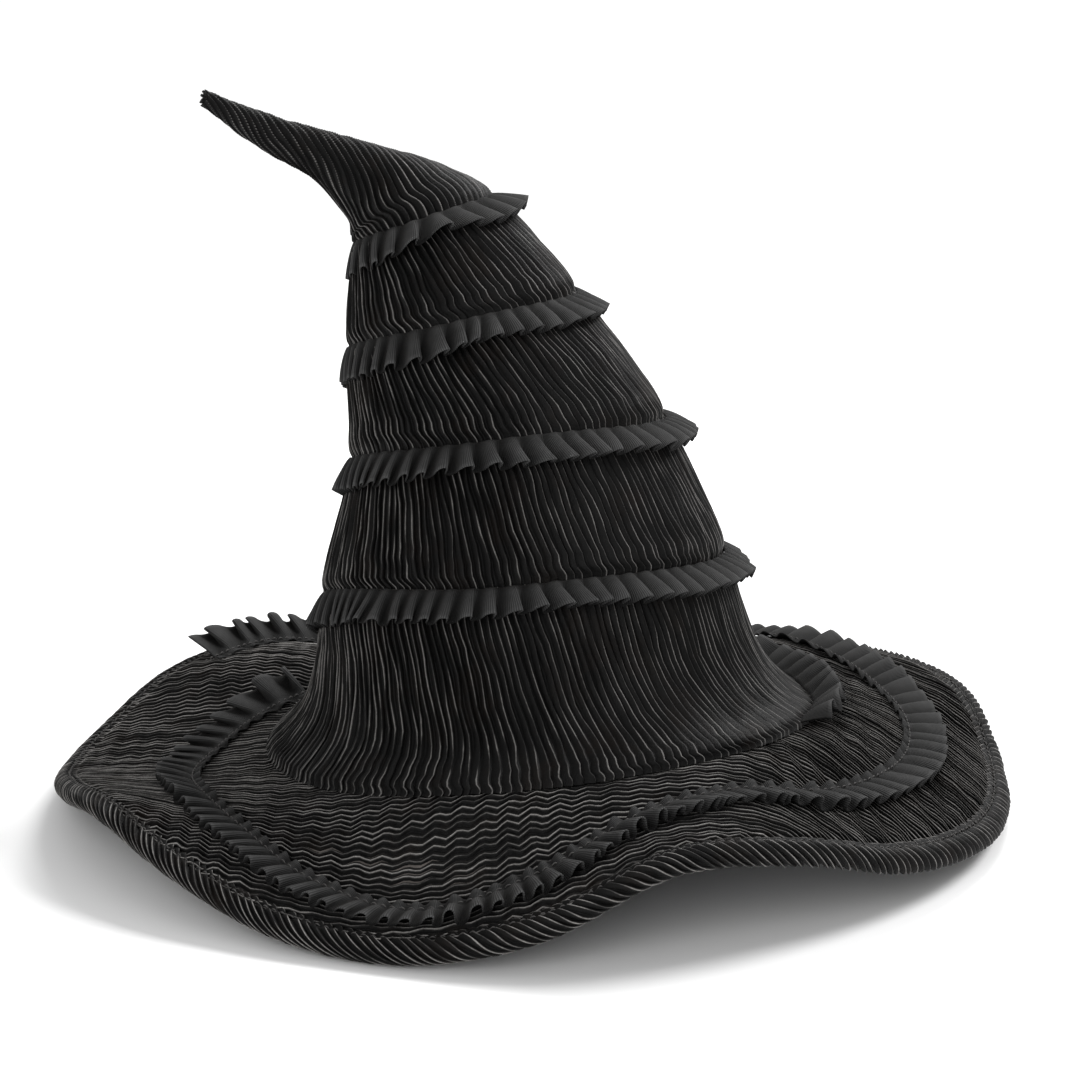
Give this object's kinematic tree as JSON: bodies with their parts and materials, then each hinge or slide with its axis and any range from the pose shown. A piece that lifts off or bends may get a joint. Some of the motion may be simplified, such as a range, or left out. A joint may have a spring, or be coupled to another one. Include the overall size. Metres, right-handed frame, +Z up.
{
  "type": "witch hat",
  "caption": "Pleated cloth witch hat with a bent wired tip, a ruffle spiralling up the crown and a wavy bound brim.",
  "frame": {"origin": "centre of the head opening, at the sweatband's lower edge", "axes": "+Z up out of the crown, -Y towards the wearer's face, the tip bends towards -X"},
  "size_m": [0.407, 0.402, 0.2978],
  "materials": {
    "pleated_cloth": "satin",
    "ruffle_cloth": "matte",
    "lining_satin": "satin",
    "sweatband_ribbon": "matte",
    "felt": "matte",
    "wadding": "matte",
    "foam": "matte",
    "seam_tape": "matte",
    "wire": "satin"
  },
  "bodies": {
    "crown": {"sweatband": "sweatband_ribbon", "headsize_wire": "wire", "crown_lining": "lining_satin", "foot_seam_tape": "seam_tape", "fitting_foam": "foam", "crown_core": "felt", "crown_cover": "pleated_cloth", "crown_wadding": "wadding", "spine_wire": "wire", "crown_ruffle": "ruffle_cloth", "horn_root_cover": "pleated_cloth", "brim_core": "felt", "brim_top_cover": "pleated_cloth", "brim_under_cover": "pleated_cloth", "brim_binding": "pleated_cloth", "brim_edge_wire": "wire", "brim_ruffle": "ruffle_cloth"},
    "tip": {"tip_cover": "pleated_cloth", "tip_wadding": "wadding", "tip_wire": "wire"}
  },
  "joints": [
    {"name": "tip_bend", "type": "hinge", "parent": "crown", "child": "tip", "pos_m": [-0.071, 0.042, 0.24], "axis": [0, 1, 0], "range_deg": [-30, 30]}
  ]
}
